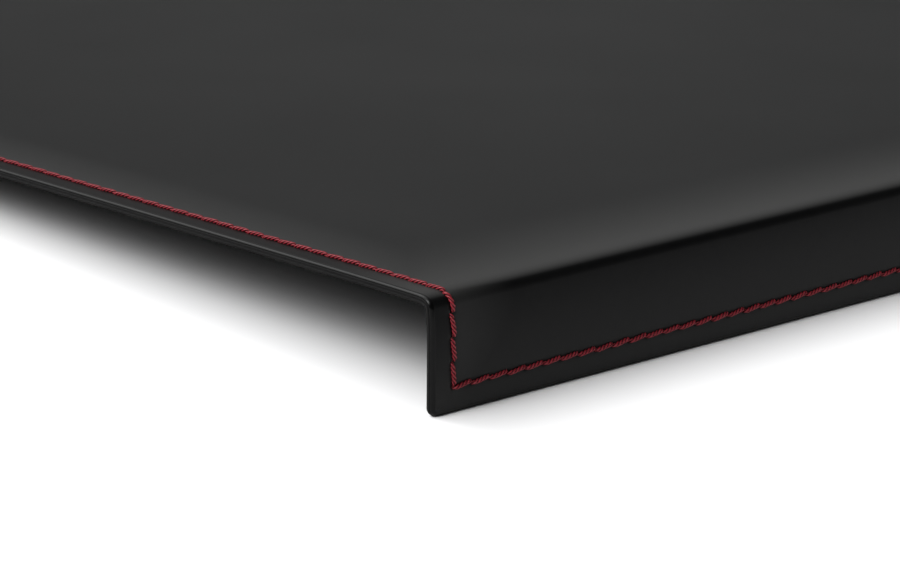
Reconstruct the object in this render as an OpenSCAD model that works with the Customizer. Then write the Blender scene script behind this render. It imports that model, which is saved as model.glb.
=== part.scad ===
// Rigid desk mat with a folded front lip, made of bonded layers and stitched all round.
// Millimetres. +X runs along the mat's width, +Y to its back edge and +Z up.
// The origin is the centre of the middle pad's underside, which is the plane of the desk top.

/* [Mat] */
// Overall width
mat_w = 600; // [450:10:800]
// Overall depth, from the lip's front face to the back edge
mat_d = 400; // [300:10:500]
// Height of the front lip, from the writing surface to its lower edge
lip_h = 25; // [20:1:35]
// Radius of the outer corners, in plan and at the lip's lower ends
corner_r = 2; // [1:0.5:4]

/* [Layers] */
// Thickness of the cover leather
cover_t = 0.8; // [0.6:0.1:1.2]
// Thickness of the steel core and of the filler strips around it
core_t = 0.8; // [0.6:0.1:1.2]
// Thickness of the base lining
lining_t = 0.8; // [0.6:0.1:1.2]
// Inner radius of the fold between the panel and the lip
fold_r = 1.1; // [0.8:0.1:3]
// Distance from the mat's edges to the steel core
core_inset = 8; // [7.5:0.5:12]

/* [Stitching] */
// Distance from the mat's edges to the line of stitching
seam_inset = 5.4; // [4:0.1:6.5]
// Length of one stitch, rounded so that each side holds a whole number of them
stitch_len = 5.1; // [4:0.1:8]
// Diameter of the thread
thread_d = 0.9; // [0.6:0.1:1]
// Length of each needle hole, left between two stitches
hole_len = 0.5; // [0.3:0.1:0.8]
// Angle between a stitch and its seam line
slant = 7; // [0:1:10]
// Side clearance of the thread in the channel pressed into the lining
channel_gap = 0.1; // [0.05:0.05:0.3]

/* [Pads] */
// Diameter of each non-slip pad
pad_d = 12; // [8:1:20]
// Thickness of each non-slip pad
pad_t = 0.8; // [0.6:0.1:2]
// Chamfer around the underside of each pad
pad_chamfer = 0.3; // [0.1:0.1:0.4]
// Distance from the mat's edges to the centres of the outer pads
pad_inset = 45; // [30:5:80]

/* [Hidden] */
$fn = 48;
slack = 1;
thread_r = thread_d / 2;

// Radii of the faces between the layers where they turn over the fold, from the inside out.
lining_r = fold_r + lining_t;
core_r = lining_r + core_t;
outer_r = core_r + cover_t;

// Planes of the writing surface and of the mat's four edges.
top_z = pad_t + lining_t + core_t + cover_t;
low_z = top_z - lip_h;
front_y = -mat_d / 2;
back_y = mat_d / 2;
side_x = mat_w / 2;

// Axis of the fold, which runs along X.
fold_y = front_y + outer_r;
fold_z = top_z - outer_r;

// A side seam runs up the lip, over the fold and back along the panel. It is measured on the cover.
lip_run = fold_z - (low_z + seam_inset);
fold_run = outer_r * PI / 2;
panel_run = back_y - seam_inset - fold_y;
side_run = lip_run + fold_run + panel_run;
cross_run = mat_w - 2 * seam_inset;
side_count = round(side_run / stitch_len);
cross_count = round(cross_run / stitch_len);
side_pitch = side_run / side_count;
cross_pitch = cross_run / cross_count;
seam_x = side_x - seam_inset;

// The bobbin thread lies flush in a channel pressed into the lining.
channel_w = thread_d + stitch_len * sin(slant) + 2 * channel_gap;
channel_inset = seam_inset - channel_w / 2;
channel_r = fold_r + thread_r;

PAD_ROWS = ["front", "middle", "rear"];
PAD_COLUMNS = ["left", "centre", "right"];
function pad_name(row, column) = str("pad_", PAD_ROWS[row], "_", PAD_COLUMNS[column]);

// Cross-section of one layer: panel, fold and lip. 2D x is the row's Y, and 2D y is its Z.
module layer_profile(inner_r, layer_t, inset) {
    layer_r = inner_r + layer_t;
    translate([fold_y, fold_z + inner_r])
        square([back_y - inset - fold_y, layer_t]);
    translate([fold_y - layer_r, low_z + inset])
        square([layer_t, fold_z - low_z - inset]);
    translate([fold_y, fold_z])
        intersection() {
            difference() {
                circle(layer_r);
                circle(inner_r);
            }
            translate([-layer_r, 0])
                square(layer_r);
        }
}

// The same layer as a solid that runs from x0 to x1.
module layer(inner_r, layer_t, inset, x0, x1) {
    translate([x0, 0, 0])
        rotate([90, 0, 90])
            linear_extrude(x1 - x0)
                layer_profile(inner_r, layer_t, inset);
}

// What is cut away outside a quarter-round corner, with the corner at the origin.
module corner_waste() {
    difference() {
        translate([-corner_r, -corner_r])
            square(corner_r + slack);
        translate([-corner_r, -corner_r])
            circle(corner_r);
    }
}

// Rounds the panel's two back corners and the lip's two lower corners.
module round_corners() {
    difference() {
        children();
        for (side = [0, 1])
            mirror([side, 0, 0]) {
                translate([side_x, back_y, 0])
                    linear_extrude(top_z + slack)
                        corner_waste();
                translate([side_x, fold_y, low_z])
                    rotate([90, 0, 0])
                        linear_extrude(outer_r + slack)
                            mirror([0, 1, 0])
                                corner_waste();
            }
    }
}

module cover_leather() {
    color("#2b2b2c")
        round_corners()
            layer(core_r, cover_t, 0, -side_x, side_x);
}

// Channel all round the inner face of the lining, under the seam.
module seam_channel() {
    cross_w = mat_w - 2 * channel_inset;
    outer_x = side_x - channel_inset;
    for (side = [0, 1])
        mirror([side, 0, 0])
            layer(fold_r, thread_r, channel_inset, outer_x - channel_w, outer_x);
    translate([-cross_w / 2, back_y - channel_inset - channel_w, fold_z + fold_r])
        cube([cross_w, channel_w, thread_r]);
    translate([-cross_w / 2, fold_y - channel_r, low_z + channel_inset])
        cube([cross_w, thread_r, channel_w]);
}

module base_lining() {
    color("#1d1d1f")
        difference() {
            round_corners()
                layer(fold_r, lining_t, 0, -side_x, side_x);
            seam_channel();
        }
}

module steel_core() {
    color("#9a9da0")
        layer(lining_r, core_t, core_inset, core_inset - side_x, side_x - core_inset);
}

// Strip of leatherboard that fills the core's layer out to one side edge.
module filler_side(side) {
    color("#4a3527")
        mirror([side, 0, 0])
            round_corners()
                layer(lining_r, core_t, 0, -side_x, core_inset - side_x);
}

module filler_rear() {
    color("#4a3527")
        translate([core_inset - side_x, back_y - core_inset, fold_z + lining_r])
            cube([mat_w - 2 * core_inset, core_inset, core_t]);
}

module filler_lip() {
    color("#4a3527")
        translate([core_inset - side_x, fold_y - core_r, low_z])
            cube([mat_w - 2 * core_inset, core_t, core_inset]);
}

// Half-round section of a stitch that lies on a face. outward is 1 on the cover, -1 in the lining.
module stitch_section(outward) {
    intersection() {
        circle(thread_r);
        translate([-thread_r, outward > 0 ? 0 : -thread_r])
            square([thread_d, thread_r]);
    }
}

// A straight stitch on a face in the XY plane, centred on the origin.
module stitch(len, outward) {
    translate([-len / 2, 0, 0])
        rotate([90, 0, 90])
            linear_extrude(len)
                stitch_section(outward);
}

// Part of a side seam on the panel, from s0 to s1 along the seam, with the fold's end at 0.
module stitch_on_panel(s0, s1, face_r, turn, outward) {
    translate([0, fold_y + (s0 + s1) / 2, fold_z + face_r])
        rotate([0, 0, 90 + turn])
            stitch(s1 - s0, outward);
}

// Part of a side seam on the lip, from s0 to s1 along the seam, with the corner at 0.
module stitch_on_lip(s0, s1, face_r, turn, outward) {
    translate([0, fold_y - face_r, low_z + seam_inset + (s0 + s1) / 2])
        rotate([90, 0, 0])
            rotate([0, 0, 90 + turn])
                stitch(s1 - s0, outward);
}

// Part of a side seam over the fold, between two lengths along the cover, with the lip's end at 0.
module stitch_on_fold(s0, s1, face_r, outward) {
    translate([0, fold_y, fold_z])
        rotate([90, 0, 90])
            rotate([0, 0, 180 - 90 * s1 / fold_run])
                rotate_extrude(angle = 90 * (s1 - s0) / fold_run)
                    translate([face_r, 0])
                        rotate([0, 0, -90])
                            stitch_section(outward);
}

// Stitch number i of a side seam, counted up from the lip's corner.
module side_stitch(i, face_r, turn, outward) {
    s0 = i * side_pitch + hole_len / 2;
    s1 = (i + 1) * side_pitch - hole_len / 2;
    fold_end = lip_run + fold_run;
    on_lip = s1 <= lip_run;
    on_panel = s0 >= fold_end;
    if (on_lip)
        stitch_on_lip(s0, s1, face_r, turn, outward);
    if (on_panel)
        stitch_on_panel(s0 - fold_end, s1 - fold_end, face_r, turn, outward);
    if (!on_lip && !on_panel) {
        if (s0 < lip_run)
            stitch_on_lip(s0, lip_run, face_r, 0, outward);
        stitch_on_fold(max(s0 - lip_run, 0), min(s1 - lip_run, fold_run), face_r, outward);
        if (s1 > fold_end)
            stitch_on_panel(0, s1 - fold_end, face_r, 0, outward);
    }
}

// All the stitches that one thread makes on the face whose radius at the fold is face_r.
module seam(face_r, turn, outward) {
    for (x = [-seam_x, seam_x], i = [0:side_count - 1])
        translate([x, 0, 0])
            side_stitch(i, face_r, turn, outward);
    for (i = [0:cross_count - 1])
        translate([(i + 0.5) * cross_pitch - seam_x, 0, 0]) {
            translate([0, back_y - seam_inset, fold_z + face_r])
                rotate([0, 0, turn])
                    stitch(cross_pitch - hole_len, outward);
            translate([0, fold_y - face_r, low_z + seam_inset])
                rotate([90, 0, 0])
                    rotate([0, 0, turn])
                        stitch(cross_pitch - hole_len, outward);
        }
}

module needle_thread() {
    color("#a3122a")
        seam(outer_r, slant, 1);
}

module bobbin_thread() {
    color("#8a1024")
        seam(channel_r, -slant, -1);
}

// Non-slip disc under the panel, with a chamfered underside.
module pad(row, column) {
    color("#38383a")
        translate([(column - 1) * (side_x - pad_inset), (row - 1) * (back_y - pad_inset), 0]) {
            cylinder(h = pad_chamfer, d1 = pad_d - 2 * pad_chamfer, d2 = pad_d);
            translate([0, 0, pad_chamfer])
                cylinder(h = pad_t - pad_chamfer, d = pad_d);
        }
}

cover_leather();
steel_core();
base_lining();
filler_side(0);  // filler_left
filler_side(1);  // filler_right
filler_rear();
filler_lip();
needle_thread();
bobbin_thread();
for (row = [0:2], column = [0:2])
    pad(row, column);
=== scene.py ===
"""Looks of the desk mat: leather cover and lining with rounded edges, and twisted stitching all round.

The layers and the threads are drawn flat, as they lie before the mat is folded, and are then folded
over. A flat point is (u, v, h): u along the mat's width, v from the back edge towards the lip's lower
edge, both measured on the cover's outer face, and h outwards from that face. All lengths are metres.
"""
import math
import random

import bpy
import numpy as np
from mathutils import Matrix, Vector


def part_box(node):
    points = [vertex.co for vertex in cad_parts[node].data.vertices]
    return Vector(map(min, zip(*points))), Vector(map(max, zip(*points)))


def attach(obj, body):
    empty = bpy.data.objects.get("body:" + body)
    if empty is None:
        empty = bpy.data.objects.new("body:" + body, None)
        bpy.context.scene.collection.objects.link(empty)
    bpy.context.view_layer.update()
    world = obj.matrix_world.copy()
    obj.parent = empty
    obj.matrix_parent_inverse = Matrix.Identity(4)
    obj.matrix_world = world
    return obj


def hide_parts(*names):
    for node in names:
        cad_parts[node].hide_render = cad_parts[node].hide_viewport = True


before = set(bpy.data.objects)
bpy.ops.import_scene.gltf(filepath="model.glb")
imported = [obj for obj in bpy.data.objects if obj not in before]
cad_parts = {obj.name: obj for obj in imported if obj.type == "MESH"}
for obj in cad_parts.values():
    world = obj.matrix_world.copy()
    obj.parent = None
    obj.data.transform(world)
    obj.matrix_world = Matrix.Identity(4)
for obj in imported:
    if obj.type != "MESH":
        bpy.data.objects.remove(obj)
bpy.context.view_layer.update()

# ---------------------------------------------------------------- sizes
MM = 0.001
COVER_LO, COVER_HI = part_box("cover_leather")
SIDE_X = COVER_HI.x
FRONT_Y, BACK_Y = COVER_LO.y, COVER_HI.y
LOW_Z, TOP_Z = COVER_LO.z, COVER_HI.z
UNDER_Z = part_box("pad_middle_centre")[1].z
THICK = TOP_Z - UNDER_Z
COVER_T = TOP_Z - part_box("steel_core")[1].z
LINING_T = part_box("base_lining")[1].z - UNDER_Z

CORNER_R = 1.5 * MM
SEAM_INSET = 5.4 * MM
STITCH_LEN = 5.1 * MM
CHANNEL_W = 1.72 * MM
CHANNEL_DEPTH = 0.45 * MM

# Stretches of the fold from the panel to the lip: length along the outer face, slope at its end in
# degrees, and how the slope gets there. The panel and the lip stay a little curved next to the tight part.
FOLD_PARTS = [
    (33 * MM, 0.8, "gathering"),
    (3.6 * MM, 20.0, "gathering"),
    (2.8 * MM, 82.0, "even"),
    (12 * MM, 90.0, "fading"),
]
FOLD_SAMPLES = 3001


# ---------------------------------------------------------------- folding
def eased(x, ease):
    """x from 0 to 1 with its pace gathering, even or fading."""
    if ease == "gathering":
        return x ** 2
    if ease == "fading":
        return 1 - (1 - x) ** 2
    return x


def summed(rate, step):
    """Running total of a rate along even steps, starting at 0."""
    return np.concatenate([[0], np.cumsum((rate[1:] + rate[:-1]) / 2 * step)])


def fold_table():
    """Lengths along the curved stretch, with the slope, Y and Z at each, from the panel to the lip."""
    s = np.linspace(0, sum(part[0] for part in FOLD_PARTS), FOLD_SAMPLES)
    slope = np.zeros(len(s))
    start, before = 0, 0
    for length, after, ease in FOLD_PARTS:
        x = np.clip((s - start) / length, 0, 1)
        slope += math.radians(after - before) * eased(x, ease)
        start += length
        before = after
    step = s[1] - s[0]
    return s, slope, summed(-np.cos(slope), step), summed(-np.sin(slope), step)


FOLD_S, FOLD_SLOPE, FOLD_Y, FOLD_Z = fold_table()
CURVE_START = BACK_Y - (FRONT_Y - FOLD_Y[-1])
CURVE_END = CURVE_START + FOLD_S[-1]
ARC_START = CURVE_START + FOLD_PARTS[0][0]
ARC_END = CURVE_END - FOLD_PARTS[-1][0]
FLAT_LEN = CURVE_END + (TOP_Z + FOLD_Z[-1] - LOW_Z)


def fold(points):
    """Flat points (u, v, h) as places in the row frame."""
    p = np.asarray(points, dtype=float).reshape(-1, 3)
    u, v, h = p[:, 0], p[:, 1], p[:, 2]
    s = v - CURVE_START
    slope = np.interp(s, FOLD_S, FOLD_SLOPE)
    y = BACK_Y - CURVE_START + np.interp(s, FOLD_S, FOLD_Y) - np.minimum(s, 0)
    z = TOP_Z + np.interp(s, FOLD_S, FOLD_Z) - np.maximum(s - FOLD_S[-1], 0)
    return np.stack([u, y - h * np.sin(slope), z + h * np.cos(slope)], axis=1)


def add_object(name, data):
    obj = bpy.data.objects.new(name, data)
    bpy.context.scene.collection.objects.link(obj)
    return obj


def mesh_object(name, places, faces, materials, face_material=None):
    """A smooth mesh object. face_material holds each face's index into the materials."""
    mesh = bpy.data.meshes.new(name)
    mesh.from_pydata(places, [], faces)
    for material in materials:
        mesh.materials.append(material)
    mesh.polygons.foreach_set("use_smooth", [True] * len(mesh.polygons))
    if face_material is not None:
        mesh.polygons.foreach_set("material_index", face_material)
    return add_object(name, mesh)


# ---------------------------------------------------------------- where the stitches are
SEAM_U = SIDE_X - SEAM_INSET
SEAM_V0, SEAM_V1 = SEAM_INSET, FLAT_LEN - SEAM_INSET
SIDE_COUNT = round((SEAM_V1 - SEAM_V0) / STITCH_LEN)
CROSS_COUNT = round(2 * SEAM_U / STITCH_LEN)
SIDE_PITCH = (SEAM_V1 - SEAM_V0) / SIDE_COUNT
CROSS_PITCH = 2 * SEAM_U / CROSS_COUNT


def seam_distance(u, v):
    """Distance from the seam line, positive towards the mat's edge."""
    du = np.abs(u) - SEAM_U
    dv = np.maximum(SEAM_V0 - v, v - SEAM_V1)
    outside = np.hypot(np.maximum(du, 0), np.maximum(dv, 0))
    return outside + np.minimum(np.maximum(du, dv), 0)


def hole_distance(u, v):
    """Distance from the nearest needle hole."""
    k = np.clip(np.round((v - SEAM_V0) / SIDE_PITCH), 0, SIDE_COUNT)
    side = np.hypot(np.abs(u) - SEAM_U, v - SEAM_V0 - k * SIDE_PITCH)
    k = np.clip(np.round((u + SEAM_U) / CROSS_PITCH), 0, CROSS_COUNT)
    along = u + SEAM_U - k * CROSS_PITCH
    cross = np.hypot(np.minimum(np.abs(v - SEAM_V0), np.abs(v - SEAM_V1)), along)
    return np.minimum(side, cross)


# ---------------------------------------------------------------- skins
# Where the rings have points: shares of a stitch, steps over the fold and steps round a corner.
STITCH_STEPS = (0, 0.06, 0.14, 0.26, 0.5, 0.74, 0.86, 0.94)
ARC_STEP = 0.36 * MM
CORNER_STEPS = 6
LEAST_CORNER_R = 0.5 * MM

# Distance from the outline to the last ring, and the cells that fill the skin inside it.
INNER_INSET = 8.4 * MM
FILL_ACROSS = 12
CURVE_GAP = 1.2 * MM
FLAT_GAP = 45 * MM

# The rounded edge: how far it is rounded inwards, how far the paint stands proud, how far the faces have
# dropped where it starts, the nick between two layers, the width of the ring on a hidden face that ends the
# nick, and the steps round the cover's or the lining's part of the edge and round the fillers' part.
EDGE_R = 0.95 * MM
EDGE_SWELL = 0.28 * MM
EDGE_DROP = 0.09 * MM
LAYER_NICK = 0.025 * MM
LAYER_LAP = 0.3 * MM
EDGE_STEPS = 8
FILLER_EDGE_STEPS = 5

# The seam's marks in the leather, as depth and width, and the softness of the channel's sides.
FURROW_DEPTH, FURROW_W = 0.14 * MM, 0.75 * MM
HOLE_DEPTH, HOLE_W = 0.42 * MM, 0.50 * MM
CHANNEL_SOFTNESS = 0.09 * MM


def marks(first, pitch, count):
    """Places along a side: a few in each stitch, closer together at the needle holes."""
    return [first + (i + f) * pitch for i in range(count) for f in STITCH_STEPS] + [first + count * pitch]


def side_marks():
    """Places along a side edge, which has more of them over the fold."""
    arc = np.arange(ARC_START - ARC_STEP, ARC_END + 2 * ARC_STEP, ARC_STEP)
    kept = [m for m in marks(SEAM_V0, SIDE_PITCH, SIDE_COUNT) if np.abs(arc - m).min() > ARC_STEP / 2]
    return np.array(sorted([*kept, *arc]))


SIDE_MARKS = side_marks()
CROSS_MARKS = np.array(marks(-SEAM_U, CROSS_PITCH, CROSS_COUNT))


def stretched(places, low, high):
    """The marks, with the first and the last stitch stretched so that they end at low and high."""
    a, b = places[0] + STITCH_LEN, places[-1] - STITCH_LEN
    out = places.copy()
    near, far = places < a, places > b
    out[near] = low + (places[near] - places[0]) * (a - low) / STITCH_LEN
    out[far] = high - (places[-1] - places[far]) * (high - b) / STITCH_LEN
    return out


def ring(inset):
    """A closed loop of (u, v) at that distance inside the outline, starting at the lip's left end."""
    r = max(CORNER_R - inset, LEAST_CORNER_R)
    u1, v0, v1 = SIDE_X - inset, inset, FLAT_LEN - inset
    us = stretched(CROSS_MARKS, -u1 + r, u1 - r)
    vs = stretched(SIDE_MARKS, v0 + r, v1 - r)
    turn = np.linspace(0, math.pi / 2, CORNER_STEPS + 1)[1:-1]
    sin, cos = np.sin(turn), np.cos(turn)

    def corner(u, v, a, b, c, d):
        return np.stack([u + r * (a * cos + b * sin), v + r * (c * cos + d * sin)], 1)

    def line(u, v):
        return np.stack(np.broadcast_arrays(u, v), 1)

    return np.concatenate([
        line(us, v1), corner(u1 - r, v1 - r, 0, 1, 1, 0),
        line(u1, vs[::-1]), corner(u1 - r, v0 + r, 1, 0, 0, -1),
        line(us[::-1], v0), corner(r - u1, v0 + r, 0, -1, -1, 0),
        line(-u1, vs), corner(r - u1, v1 - r, -1, 0, 0, 1),
    ])


NU, NV, NC = len(CROSS_MARKS), len(SIDE_MARKS), CORNER_STEPS - 1
LIP_0 = 0
RIGHT_0 = NU + NC
BACK_0 = RIGHT_0 + NV + NC
LEFT_0 = BACK_0 + NU + NC
RING_LEN = LEFT_0 + NV + NC


def fill_rows():
    """Marks that carry a row across the mat: wide apart on the flat, close where it curves."""
    rows = []
    for i, v in enumerate(SIDE_MARKS[1:-1], 1):
        if ARC_START - ARC_STEP <= v <= ARC_END + ARC_STEP:
            gap = 0
        elif CURVE_START - STITCH_LEN <= v <= CURVE_END + STITCH_LEN:
            gap = CURVE_GAP
        else:
            gap = FLAT_GAP
        if not rows or v - SIDE_MARKS[rows[-1]] >= gap:
            rows.append(i)
    return rows


FILL_ROWS = fill_rows()
FILL_COLUMNS = list(range(NU // FILL_ACROSS, NU - 1, NU // FILL_ACROSS))


def fill(first):
    """Fills the innermost ring, whose points start at index first, with a grid of cells.
    Gives the extra (u, v) points and the faces."""
    loop = ring(INNER_INSET)
    us = loop[[LIP_0 + c for c in FILL_COLUMNS], 0]
    vs = loop[[LEFT_0 + r for r in FILL_ROWS], 1]
    extra = np.array([(u, v) for v in vs for u in us])
    rows, columns = len(vs), len(us)
    start = first + RING_LEN

    def grid(k, c):
        return start + k * columns + c

    def part(a, b):
        count = (b - a) % RING_LEN
        return [first + (a + i) % RING_LEN for i in range(count + 1)]

    lip = [LIP_0 + c for c in FILL_COLUMNS]
    back = [BACK_0 + NU - 1 - c for c in FILL_COLUMNS]
    left = [LEFT_0 + r for r in FILL_ROWS]
    right = [RIGHT_0 + NV - 1 - r for r in FILL_ROWS]
    low, far = rows - 1, columns - 1
    faces = [
        part(lip[far], right[low]) + [grid(low, far)],
        part(right[0], back[far]) + [grid(0, far)],
        part(back[0], left[0]) + [grid(0, 0)],
        part(left[low], lip[0]) + [grid(low, 0)],
    ]
    for c in range(1, columns):
        faces.append(part(lip[c - 1], lip[c]) + [grid(low, c), grid(low, c - 1)])
        faces.append(part(back[c], back[c - 1]) + [grid(0, c - 1), grid(0, c)])
    for k in range(1, rows):
        faces.append(part(right[k], right[k - 1]) + [grid(k - 1, far), grid(k, far)])
        faces.append(part(left[k - 1], left[k]) + [grid(k, 0), grid(k - 1, 0)])
        for c in range(1, columns):
            faces.append([grid(k, c - 1), grid(k, c), grid(k - 1, c), grid(k - 1, c - 1)])
    return extra, faces


def skin(name, profile, height, materials, edge_rings=range(0)):
    """A closed layer of the mat. profile lists (inset, h) round its section, and height(u, v, h) shapes
    the faces. The faces after each ring in edge_rings take the second material. The first and last rings
    are filled across, unless the profile ends where it starts and makes a frame."""
    points, faces, index = [], [], []
    is_frame = profile[0] == profile[-1]
    for k, (inset, h) in enumerate(profile[:-1] if is_frame else profile):
        loop = ring(inset)
        points.append(np.column_stack([loop, height(loop[:, 0], loop[:, 1], np.full(RING_LEN, h))]))
    count = len(points)
    for k in range(count if is_frame else count - 1):
        a, b = k * RING_LEN, (k + 1) % count * RING_LEN
        for i in range(RING_LEN):
            j = (i + 1) % RING_LEN
            faces.append([a + i, a + j, b + j, b + i])
            index.append(1 if k in edge_rings else 0)
    if not is_frame:
        points, faces, index = close(points, faces, index, profile)
    return mesh_object(name, fold(np.concatenate(points)).tolist(), faces, materials, index)


def close(points, faces, index, profile):
    """Adds the two filled faces to a skin: the last ring's, then the first ring's turned over."""
    extra, cells = fill((len(points) - 1) * RING_LEN)
    faces += cells
    points.append(np.column_stack([extra, np.full(len(extra), profile[-1][1])]))
    total = sum(len(p) for p in points)
    extra, cells = fill(0)
    faces += [[i if i < RING_LEN else total + i - RING_LEN for i in cell][::-1] for cell in cells]
    points.append(np.column_stack([extra, np.full(len(extra), profile[0][1])]))
    index += [0] * (2 * len(cells))
    return points, faces, index


def edge_arc(h_from, h_to, steps):
    """The rounded edge between two depths, as (inset, h)."""
    half = THICK / 2 - EDGE_DROP
    a0, a1 = (math.asin(max(-1, min(1, (h + THICK / 2) / half))) for h in (h_from, h_to))
    out = []
    for i in range(steps + 1):
        a = a0 + (a1 - a0) * i / steps
        out.append((EDGE_R * (1 - math.cos(a)) - EDGE_SWELL, half * math.sin(a) - THICK / 2))
    return out


def margin_drop(d):
    """How far a face has fallen off towards the edge, at a distance d outside the seam."""
    return EDGE_DROP * np.clip(d / (SEAM_INSET - EDGE_R), 0, 1) ** 3


def cover_height(u, v, h):
    """The cover's upper face, with a furrow under the seam, dimples at the holes and a falling margin."""
    d = seam_distance(u, v)
    shaped = -FURROW_DEPTH * np.exp(-(d / FURROW_W) ** 2)
    shaped -= HOLE_DEPTH * np.exp(-(hole_distance(u, v) / HOLE_W) ** 2)
    shaped -= margin_drop(d)
    on_face = (h > -EDGE_DROP / 2) & (d < SEAM_INSET)
    return np.where(on_face, h + shaped, h)


def lining_height(u, v, h):
    """The lining's inner face, with a channel under the seam and the same margin."""
    d = seam_distance(u, v)
    channel = CHANNEL_DEPTH / (1 + np.exp((np.abs(d) - CHANNEL_W / 2) / CHANNEL_SOFTNESS))
    return np.where(h < EDGE_DROP / 2 - THICK, h + channel + margin_drop(d), h)


# Rings on a face, close together at the seam.
SURFACE_INSETS = [inset * MM for inset in (
    1.0, 1.4, 2.0, 2.8, 3.5, 4.0, 4.4, 4.7, 4.95, 5.2, 5.4, 5.6, 5.85, 6.1, 6.4, 6.8, 7.3)]


def make_cover(leather, paint):
    """The cover leather, with its part of the painted edge."""
    arc = edge_arc(-COVER_T, -EDGE_DROP, EDGE_STEPS)
    start = (arc[0][0] + LAYER_NICK, arc[0][1])
    face = [(x, 0.0) for x in SURFACE_INSETS + [INNER_INSET]]
    profile = [(INNER_INSET, -COVER_T), (arc[0][0] + LAYER_LAP, -COVER_T), start] + arc[1:] + face
    obj = skin("cover", profile, cover_height, [leather, paint], range(1, EDGE_STEPS + 2))
    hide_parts("cover_leather")
    return obj


def make_lining(suede):
    """The lining, which is suede out to its rounded edge."""
    top = LINING_T - THICK
    arc = edge_arc(EDGE_DROP - THICK, top, EDGE_STEPS)
    last = (arc[-1][0] + LAYER_NICK, arc[-1][1])
    face = [(x, -THICK) for x in [INNER_INSET] + SURFACE_INSETS[::-1]]
    profile = face + arc[:-1] + [last, (last[0] + LAYER_LAP, top), (INNER_INSET, top)]
    obj = skin("lining", profile, lining_height, [suede])
    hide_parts("base_lining")
    return obj


def make_fillers(board, paint):
    """The four strips as one frame, painted on its outer edge."""
    top, low = -COVER_T, LINING_T - THICK
    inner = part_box("steel_core")[0].x + SIDE_X
    arc = edge_arc(low, top, FILLER_EDGE_STEPS)
    first = (arc[0][0] + LAYER_NICK, low)
    last = (arc[-1][0] + LAYER_NICK, top)
    profile = [(inner, low), first] + arc[1:-1] + [last, (inner, top)]
    profile.append(profile[0])
    obj = skin("filler_strips", profile, lambda u, v, h: h, [board, paint], range(1, len(profile) - 3))
    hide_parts("filler_left", "filler_right", "filler_rear", "filler_lip")
    return obj


# ---------------------------------------------------------------- threads
# Three plies touch one another, each with this share of the thread's radius, and twist once in a pitch.
PLIES = 3
PLY_SHARE = 0.464
TWIST_PITCH = 3.2 * MM

# A stitch dives into its holes over this length, this far from their centres, and is pinched there to a
# share of its thickness. It swells a little in the middle.
DIVE_LEN = 0.80 * MM
DIVE_POINTS = 7
HOLE_GAP = 0.16 * MM
END_SHARE = 0.62
CROWN = 0.07 * MM

# How much stitches differ: in the share of their slant, their height, their place and the share of their
# thickness.
SLANT_SPREAD = 0.2
RISE_SPREAD = 0.03 * MM
SIDE_SPREAD = 0.05 * MM
RADIUS_SPREAD = 0.04

# Sizes of each thread. face is the face it lies on and out the way it stands proud; rise is the middle
# line's height over that face, dip its depth in the holes and shift half its sideways slant; points is the
# count per ply round the thread and steps the count along a stitch.
NEEDLE_SIZES = {
    "face": 0.0, "out": 1, "radius": 0.49 * MM, "rise": 0.06 * MM, "dip": 0.75 * MM,
    "shift": 0.36 * MM, "points": 6, "steps": 18,
}
BOBBIN_SIZES = {
    "face": -THICK, "out": -1, "radius": 0.42 * MM, "rise": -0.28 * MM, "dip": 1.1 * MM,
    "shift": -0.26 * MM, "points": 4, "steps": 12,
}


def ply_outline(points_per_ply):
    """Radius share at each point round a thread of three touching plies."""
    reach = 1 - PLY_SHARE
    out = []
    for i in range(PLIES * points_per_ply):
        off = (i % points_per_ply / points_per_ply - 0.5) * 2 * math.pi / PLIES
        out.append(reach * math.cos(off) + math.sqrt(max(PLY_SHARE ** 2 - (reach * math.sin(off)) ** 2, 0)))
    return np.array(out)


def stitch_line(length, rise, dip, shift, steps):
    """Middle line of a stitch and its thickness share: out of one hole, over the face, into the next.
    Gives (along, across, up, share)."""
    turn = np.linspace(0.02, 1, DIVE_POINTS) * math.pi / 2
    dive_x = DIVE_LEN * (1 - np.cos(turn)) + HOLE_GAP
    dive_h = -dip + (rise + dip) * np.sin(turn) ** 0.8
    mid_x = np.linspace(dive_x[-1], length - dive_x[-1], steps)[1:-1]
    x = np.concatenate([dive_x, mid_x, length - dive_x[::-1]])
    h = np.concatenate([dive_h, np.full(len(mid_x), rise), dive_h[::-1]])
    h += CROWN * np.sin(math.pi * np.clip(x / length, 0, 1))
    end = np.minimum(x, length - x) - HOLE_GAP
    share = END_SHARE + (1 - END_SHARE) * np.sin(np.clip(end / (1.1 * DIVE_LEN), 0, 1) * math.pi / 2)
    sway = np.clip(x / length, 0, 1)
    return x, shift * (2 * sway - 1), h, share


def unit(a):
    return a / np.linalg.norm(a, axis=1, keepdims=True)


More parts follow.
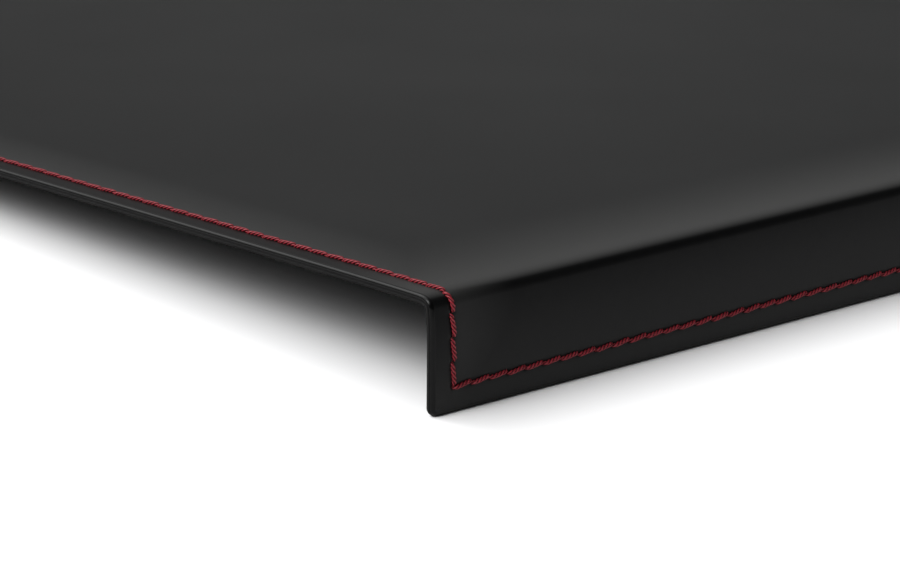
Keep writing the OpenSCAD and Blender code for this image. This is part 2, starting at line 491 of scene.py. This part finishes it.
def thread_run(name, origin, along, across, up, count, pitch, sizes, material):
    """One side's stitches. origin, along, across and up are flat vectors. The mesh keeps "ply" for its
    material, which is 0 in the grooves between the plies and 1 on their crests."""
    rng = random.Random(name)
    outline = ply_outline(sizes["points"])
    n = len(outline)
    angle = np.arange(n) * 2 * math.pi / n
    points, faces = [], []
    for k in range(count):
        shift = sizes["shift"] * rng.uniform(1 - SLANT_SPREAD, 1 + SLANT_SPREAD)
        rise = sizes["rise"] + rng.uniform(-RISE_SPREAD, RISE_SPREAD)
        x, side, h, share = stitch_line(pitch, rise, sizes["dip"], shift, sizes["steps"])
        side = side + rng.uniform(-SIDE_SPREAD, SIDE_SPREAD)
        line = origin + np.outer(k * pitch + x, along) + np.outer(side, across) + np.outer(h, up)
        tangent = unit(np.gradient(line, axis=0))
        normal = unit(np.cross(tangent, across))
        binormal = np.cross(normal, tangent)
        travel = np.concatenate([[0], np.cumsum(np.linalg.norm(np.diff(line, axis=0), axis=1))])
        phase = (k * pitch + travel)[:, None] * 2 * math.pi / TWIST_PITCH + angle
        thickness = sizes["radius"] * rng.uniform(1 - RADIUS_SPREAD, 1 + RADIUS_SPREAD)
        radius = thickness * share[:, None] * outline
        tube = (line[:, None] + (radius * np.cos(phase))[..., None] * binormal[:, None]
                + (radius * np.sin(phase))[..., None] * normal[:, None])
        first = n * len(x) * k
        points.append(tube.reshape(-1, 3))
        for r in range(len(x) - 1):
            a, b = first + r * n, first + (r + 1) * n
            faces += [[b + i, b + (i + 1) % n, a + (i + 1) % n, a + i] for i in range(n)]
        faces.append([first + i for i in range(n)])
        faces.append([first + (len(x) - 1) * n + i for i in range(n)][::-1])
    obj = mesh_object(name, fold(np.concatenate(points)).tolist(), faces, [material])
    ply = obj.data.attributes.new("ply", "FLOAT", "POINT")
    crest = (outline - outline.min()) / (1 - outline.min())
    ply.data.foreach_set("value", np.tile(crest, len(obj.data.vertices) // n))
    return obj


def make_thread(node, sizes, material):
    """The seam's four runs, each going round the mat the same way, so that every stitch slants alike."""
    h = sizes["face"]
    up = np.array([0, 0, sizes["out"]])
    runs = {
        "left": ((-SEAM_U, SEAM_V0, h), (0, 1, 0), (1, 0, 0), SIDE_COUNT, SIDE_PITCH),
        "lip": ((-SEAM_U, SEAM_V1, h), (1, 0, 0), (0, -1, 0), CROSS_COUNT, CROSS_PITCH),
        "right": ((SEAM_U, SEAM_V1, h), (0, -1, 0), (-1, 0, 0), SIDE_COUNT, SIDE_PITCH),
        "back": ((SEAM_U, SEAM_V0, h), (-1, 0, 0), (0, 1, 0), CROSS_COUNT, CROSS_PITCH),
    }
    made = []
    for side, (origin, along, across, count, pitch) in runs.items():
        obj = thread_run(f"{node}_{side}", np.array(origin), np.array(along), np.array(across), up,
                         count, pitch, sizes, material)
        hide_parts(node)
        made.append(obj)
    return made


# ---------------------------------------------------------------- pads
PAD_SIDES = 64
PAD_ROUNDING = 0.3 * MM
PAD_RINGS = 3


def make_pad(node, silicone):
    """A moulded disc with rounded edges and shallow rings pressed into its underside."""
    lo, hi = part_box(node)
    centre, r, t = (lo + hi) / 2, (hi.x - lo.x) / 2, hi.z - lo.z
    profile = [(0.0, 0.0), (0.25 * r, 0.0)]
    for k in range(1, PAD_RINGS + 1):
        a = 0.25 * r * k
        profile += [(a + 0.04 * r, 0.06 * t), (a + 0.08 * r, 0.06 * t), (a + 0.12 * r, 0.0)]
    for a in np.linspace(0, math.pi / 2, 6):
        profile.append((r - PAD_ROUNDING * (1 - math.sin(a)), PAD_ROUNDING * (1 - math.cos(a))))
    profile += [(r, t - 0.1 * MM), (r - 0.03 * MM, t - 0.03 * MM), (r - 0.1 * MM, t), (0.0, t)]
    count = PAD_SIDES
    points = [(centre.x, centre.y, lo.z), (centre.x, centre.y, hi.z)]
    for pr, pz in profile[1:-1]:
        for i in range(count):
            a = 2 * math.pi * i / count
            points.append((centre.x + pr * math.cos(a), centre.y + pr * math.sin(a), lo.z + pz))
    faces = [[0, 2 + (i + 1) % count, 2 + i] for i in range(count)]
    loops = len(profile) - 2
    for k in range(loops - 1):
        a, b = 2 + k * count, 2 + (k + 1) * count
        faces += [[a + i, a + (i + 1) % count, b + (i + 1) % count, b + i] for i in range(count)]
    last = 2 + (loops - 1) * count
    faces += [[1, last + i, last + (i + 1) % count] for i in range(count)]
    obj = mesh_object("soft_" + node, points, faces, [silicone])
    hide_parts(node)
    return obj


# ---------------------------------------------------------------- materials
class Nodes:
    """Short calls for building one material's node tree."""

    def __init__(self, name):
        self.material = bpy.data.materials.new(name)
        self.material.use_nodes = True
        self.tree = self.material.node_tree
        self.shader = self.tree.nodes["Principled BSDF"]
        self.place = self.add("ShaderNodeTexCoord").outputs["Object"]

    def add(self, kind, **values):
        node = self.tree.nodes.new(kind)
        for key, value in values.items():
            if hasattr(node, key):
                setattr(node, key, value)
            else:
                node.inputs[key.replace("_", " ")].default_value = value
        return node

    def link(self, a, b):
        self.tree.links.new(a, b)

    def noise(self, scale, detail=3.0, roughness=0.55):
        node = self.add("ShaderNodeTexNoise", Scale=scale, Detail=detail, Roughness=roughness)
        self.link(self.place, node.inputs["Vector"])
        return node.outputs["Fac"]

    def cells(self, scale):
        node = self.add("ShaderNodeTexVoronoi", Scale=scale)
        self.link(self.place, node.inputs["Vector"])
        return node.outputs["Distance"]

    def axes(self):
        node = self.add("ShaderNodeSeparateXYZ")
        self.link(self.place, node.inputs[0])
        return node.outputs

    def stored(self, name):
        """A value kept on the mesh's points."""
        return self.add("ShaderNodeAttribute", attribute_name=name).outputs["Fac"]

    def ramp(self, source, low, high, a, b):
        """The source mapped from low..high to the numbers a..b."""
        node = self.add("ShaderNodeMapRange")
        for key, value in zip(("From Min", "From Max", "To Min", "To Max"), (low, high, a, b)):
            node.inputs[key].default_value = value
        self.link(source, node.inputs["Value"])
        return node.outputs["Result"]

    def blend(self, factor, a, b):
        """A colour from a to b as the factor goes from 0 to 1."""
        node = self.add("ShaderNodeMix", data_type="RGBA")
        node.inputs[6].default_value = (*a, 1)
        node.inputs[7].default_value = (*b, 1)
        self.link(factor, node.inputs[0])
        return node.outputs[2]

    def maths(self, operation, a, b):
        node = self.add("ShaderNodeMath", operation=operation)
        for socket, value in zip(node.inputs, (a, b)):
            if isinstance(value, (int, float)):
                socket.default_value = value
            else:
                self.link(value, socket)
        return node.outputs[0]

    def bump(self, height, distance, strength=1.0, under=None):
        node = self.add("ShaderNodeBump", Distance=distance, Strength=strength)
        self.link(height, node.inputs["Height"])
        if under is not None:
            self.link(under, node.inputs["Normal"])
        return node.outputs["Normal"]

    def finish(self, colour=None, roughness=None, normal=None, **fixed):
        for key, source in (("Base Color", colour), ("Roughness", roughness), ("Normal", normal)):
            if source is not None:
                self.link(source, self.shader.inputs[key])
        for key, value in fixed.items():
            self.shader.inputs[key.replace("_", " ")].default_value = value
        return self.material


def cover_material():
    """Black calf leather: fine grain, faintly mottled, with painted highlights that lighten it next to the
    fold, along the inside of the seam and towards the lip's lower edge."""
    n = Nodes("cover_leather_black")
    patches = n.noise(9.0, 2.0)
    mottle = n.noise(420.0, 4.0)
    pores = n.cells(3600.0)
    fine = n.noise(5200.0, 3.0, 0.6)
    x, y, z = n.axes()
    # Painted highlight: the top lightens in a band next to the fold.
    painted_fold_highlight = n.maths("POWER", n.ramp(y, FRONT_Y + 36 * MM, FRONT_Y + 5 * MM, 0.0, 1.08), 1.5)
    painted_fold_highlight = n.maths("MULTIPLY", painted_fold_highlight, n.ramp(z, TOP_Z - 1.0 * MM, TOP_Z - 0.15 * MM, 0.0, 1.0))
    # Painted highlight: the top lightens towards the seam, on its inner side only.
    painted_seam_highlight = n.ramp(n.maths("ABSOLUTE", x, 0), SEAM_U - 17 * MM, SEAM_U - 1 * MM, 0.0, 0.62)
    painted_seam_highlight = n.maths("MULTIPLY", painted_seam_highlight, n.maths("LESS_THAN", n.maths("ABSOLUTE", x, 0), SEAM_U))
    # Painted highlight: the lip lightens towards its lower edge.
    low = n.maths("POWER", n.ramp(z, TOP_Z - 5 * MM, LOW_Z, 0.0, 0.80), 1.5)
    painted_highlight = n.maths("MAXIMUM", n.maths("MAXIMUM", painted_fold_highlight, painted_seam_highlight), low)
    uneven = n.maths("MULTIPLY", n.ramp(n.maths("ADD", patches, mottle), 0.7, 1.3, 0.0, 1.0), 0.06)
    # The light end of this blend is reached through the painted highlights; the mottling adds only a
    # little.
    colour = n.blend(n.maths("ADD", painted_highlight, uneven), (0.0012, 0.0013, 0.0014), (0.0250, 0.0250, 0.0246))
    grain = n.maths("ADD", n.ramp(pores, 0.0, 0.7, 0.0, 0.7), n.ramp(fine, 0.3, 0.7, 0.0, 0.5))
    rough = n.ramp(n.maths("ADD", n.maths("MULTIPLY", patches, 0.5), n.maths("MULTIPLY", fine, 0.5)),
                   0.3, 0.7, 0.38, 0.46)
    return n.finish(colour, rough, n.bump(grain, 0.014 * MM, 0.5), IOR=1.18)


def paint_material():
    """Black edge paint: smoother than the leather, with a slight waviness from the brush."""
    n = Nodes("edge_paint_black")
    waves = n.noise(700.0, 3.0)
    fine = n.noise(4200.0, 2.0)
    tone = n.ramp(waves, 0.35, 0.65, 0.0, 1.0)
    colour = n.blend(tone, (0.0010, 0.0010, 0.0011), (0.0022, 0.0022, 0.0021))
    rough = n.ramp(fine, 0.3, 0.7, 0.19, 0.26)
    height = n.maths("ADD", n.maths("MULTIPLY", waves, 0.8), n.maths("MULTIPLY", fine, 0.3))
    return n.finish(colour, rough, n.bump(height, 0.02 * MM, 0.4), IOR=1.22)


def dull_paint_material():
    """The thinner, duller paint lower down on the edge."""
    n = Nodes("edge_paint_dull")
    waves = n.noise(700.0, 3.0)
    tone = n.ramp(waves, 0.35, 0.65, 0.0, 1.0)
    colour = n.blend(tone, (0.0024, 0.0024, 0.0025), (0.0050, 0.0049, 0.0048))
    return n.finish(colour, n.ramp(waves, 0.3, 0.7, 0.40, 0.55), n.bump(waves, 0.03 * MM, 0.5),
                    Specular_IOR_Level=0.06)


def suede_material():
    """Black suede: a rough nap, brushed lighter and darker in patches."""
    n = Nodes("lining_suede_black")
    nap = n.noise(60.0, 3.0)
    fibres = n.noise(3800.0, 5.0, 0.7)
    mixed = n.maths("ADD", n.maths("MULTIPLY", nap, 0.6), n.maths("MULTIPLY", fibres, 0.4))
    tone = n.ramp(mixed, 0.35, 0.65, 0.0, 1.0)
    colour = n.blend(tone, (0.0045, 0.0045, 0.0048), (0.0120, 0.0117, 0.0114))
    return n.finish(colour, n.ramp(fibres, 0.3, 0.7, 0.85, 0.98), n.bump(fibres, 0.06 * MM, 0.7),
                    Specular_IOR_Level=0.04)


def board_material():
    """Brown leatherboard: pressed fibres."""
    n = Nodes("leatherboard_brown")
    fibres = n.noise(2600.0, 5.0, 0.65)
    colour = n.blend(n.ramp(fibres, 0.35, 0.65, 0.0, 1.0), (0.055, 0.032, 0.019), (0.12, 0.075, 0.045))
    return n.finish(colour, n.ramp(fibres, 0.3, 0.7, 0.75, 0.9), n.bump(fibres, 0.05 * MM, 0.6))


def thread_material(name, dark, light):
    """Polyester sewing thread, with painted shade that darkens the grooves between the plies; the grooves
    are also duller.
    """
    n = Nodes(name)
    fibres = n.noise(9000.0, 3.0, 0.6)
    shade = n.noise(260.0, 2.0)
    ply = n.stored("ply")
    fuzz = n.maths("MULTIPLY", n.maths("ADD", fibres, n.maths("MULTIPLY", shade, 0.6)), 0.5)
    # Painted shade: the colour darkens from the plies' crests into the grooves between them; the fuzz is
    # the fibres' own tone.
    tone = n.maths("ADD", n.ramp(ply, 0.30, 0.95, -0.15, 0.95), n.maths("SUBTRACT", fuzz, 0.32))
    rough = n.maths("ADD", n.ramp(ply, 0.6, 1.0, 0.5, 0.0), n.ramp(fibres, 0.3, 0.7, 0.34, 0.48))
    return n.finish(n.blend(tone, dark, light), rough, n.bump(fibres, 0.03 * MM, 0.6),
                    Specular_IOR_Level=0.42)


def silicone_material():
    """Dark grey silicone with a little dust on it."""
    n = Nodes("pad_silicone")
    dust = n.noise(900.0, 4.0)
    colour = n.blend(n.ramp(dust, 0.4, 0.65, 0.0, 1.0), (0.030, 0.030, 0.031), (0.055, 0.054, 0.052))
    return n.finish(colour, n.ramp(dust, 0.35, 0.65, 0.5, 0.7), n.bump(dust, 0.02 * MM, 0.5))


def steel_material():
    """Sheet steel with a faint spangle."""
    n = Nodes("core_steel")
    spangle = n.cells(160.0)
    grain = n.noise(2200.0, 3.0)
    colour = n.blend(n.ramp(spangle, 0.0, 0.7, 0.0, 1.0), (0.42, 0.43, 0.44), (0.60, 0.61, 0.62))
    return n.finish(colour, n.ramp(grain, 0.3, 0.7, 0.32, 0.48), n.bump(grain, 0.01 * MM, 0.4),
                    Metallic=1.0)


def floor_material():
    n = Nodes("studio_floor")
    colour = n.blend(n.noise(3.0, 2.0), (0.86, 0.86, 0.865), (0.885, 0.885, 0.89))
    return n.finish(colour, Roughness=0.7, Specular_IOR_Level=0.2)


# ---------------------------------------------------------------- studio
CAMERA_AZIMUTH = math.radians(43.11)
CAMERA_TILT = math.radians(15.4)
CAMERA_ROLL = math.radians(0.53)
CAMERA_LENS = 144.84
CAMERA_SENSOR_W = 36.0
# The camera's place from the mat's upper left front corner: right, back and up.
CAMERA_OFFSET = Vector((-0.4716, -0.5084, 0.1920))

FLOOR_SIZE = 20.0
FLOOR_GAP = 0.02 * MM

# Strength of the room's light on its own, and of the backdrop that only the camera sees.
AMBIENT = 0.02
BACKDROP = 1.25

# Each softbox: azimuth clockwise from +Y and elevation in degrees, sharpness and strength.
SOFTBOXES = [
    (270, 38, 42, 17.0),
    (270, 50, 30, 7.6),
    (300, 45, 20, 2.9),
    (344, 52, 22, 8.6),
    (43, 12, 20, 0.38),
    (43, 50, 8, 0.48),
    (135, 14, 20, 0.34),
    (0, 90, 5, 0.25),
]


def make_camera():
    a, e, roll = CAMERA_AZIMUTH, CAMERA_TILT, CAMERA_ROLL
    forward = Vector((math.sin(a) * math.cos(e), math.cos(a) * math.cos(e), -math.sin(e)))
    right = Vector((math.cos(a), -math.sin(a), 0))
    up = right.cross(forward)
    rolled_right = right * math.cos(roll) + up * math.sin(roll)
    rolled_up = up * math.cos(roll) - right * math.sin(roll)
    data = bpy.data.cameras.new("camera")
    data.lens, data.sensor_width = CAMERA_LENS, CAMERA_SENSOR_W
    data.clip_start, data.clip_end = 0.01, 50.0
    camera = add_object("camera", data)
    place = Vector((-SIDE_X, FRONT_Y, TOP_Z)) + CAMERA_OFFSET
    turn = Matrix((rolled_right, rolled_up, -forward)).transposed().to_4x4()
    camera.matrix_world = Matrix.Translation(place) @ turn
    bpy.context.scene.camera = camera


def make_floor():
    """A large pale floor that touches the lip's lower edge and the panel's back edge, as under a mat that
    lies free."""
    front = Vector((0, FRONT_Y + THICK / 2, LOW_Z - EDGE_SWELL))
    back = Vector((0, BACK_Y, UNDER_Z + EDGE_DROP))
    along = (back - front).normalized() * FLOOR_SIZE
    side = Vector((FLOOR_SIZE, 0, 0))
    middle = front - Vector((0, 0, FLOOR_GAP))
    corners = [middle + side * i + along * j for i, j in ((-1, -1), (1, -1), (1, 1), (-1, 1))]
    mesh = bpy.data.meshes.new("floor")
    mesh.from_pydata(corners, [], [(0, 1, 2, 3)])
    mesh.materials.append(floor_material())
    add_object("floor", mesh)


def direction(azimuth, elevation):
    """Unit vector at degrees clockwise from +Y and degrees above level."""
    a, e = math.radians(azimuth), math.radians(elevation)
    return Vector((math.sin(a) * math.cos(e), math.cos(a) * math.cos(e), math.sin(e)))


def make_world():
    """A dim room with round softboxes that fade out softly. The camera itself sees a white backdrop."""
    world = bpy.data.worlds.new("studio")
    world.use_nodes = True
    tree = world.node_tree
    tree.nodes.clear()
    link = tree.links.new

    def maths(operation, *values):
        node = tree.nodes.new("ShaderNodeMath")
        node.operation = operation
        for socket, value in zip(node.inputs, values):
            if isinstance(value, (int, float)):
                socket.default_value = value
            else:
                link(value, socket)
        return node.outputs[0]

    place = tree.nodes.new("ShaderNodeTexCoord").outputs["Generated"]
    total = AMBIENT
    for azimuth, elevation, sharpness, strength in SOFTBOXES:
        dot = tree.nodes.new("ShaderNodeVectorMath")
        dot.operation = "DOT_PRODUCT"
        link(place, dot.inputs[0])
        dot.inputs[1].default_value = direction(azimuth, elevation)
        glow = maths("EXPONENT", maths("MULTIPLY_ADD", dot.outputs["Value"], sharpness, -sharpness))
        total = maths("MULTIPLY_ADD", glow, strength, total)
    path = tree.nodes.new("ShaderNodeLightPath")
    mix = tree.nodes.new("ShaderNodeMixShader")
    out = tree.nodes.new("ShaderNodeOutputWorld")
    link(path.outputs["Is Camera Ray"], mix.inputs[0])
    for slot, value in ((1, total), (2, BACKDROP)):
        shade = tree.nodes.new("ShaderNodeBackground")
        if isinstance(value, float):
            shade.inputs["Strength"].default_value = value
        else:
            link(value, shade.inputs["Strength"])
        link(shade.outputs[0], mix.inputs[slot])
    link(mix.outputs[0], out.inputs["Surface"])
    bpy.context.scene.world = world


def make_studio():
    make_camera()
    make_floor()
    make_world()
    bpy.context.scene.view_settings.view_transform = "Standard"
    bpy.context.scene.view_settings.look = "None"


# ---------------------------------------------------------------- assembly
def main():
    leather, paint, suede = cover_material(), paint_material(), suede_material()
    # Each thread's first colour is painted shade for the grooves between the plies, the second the crests'
    # colour.
    red = thread_material("thread_crimson", (0.030, 0.0004, 0.0016), (0.215, 0.0060, 0.0150))
    under_red = thread_material("thread_crimson_under", (0.028, 0.0004, 0.0014), (0.190, 0.0052, 0.0130))
    board, silicone = board_material(), silicone_material()
    made = [make_cover(leather, paint), make_lining(suede), make_fillers(board, dull_paint_material())]
    made += make_thread("needle_thread", NEEDLE_SIZES, red)
    made += make_thread("bobbin_thread", BOBBIN_SIZES, under_red)
    made += [make_pad(name, silicone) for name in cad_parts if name.startswith("pad_")]
    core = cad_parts["steel_core"]
    core.data.materials.clear()
    core.data.materials.append(steel_material())
    for obj in made:
        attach(obj, "root")
    make_studio()


main()
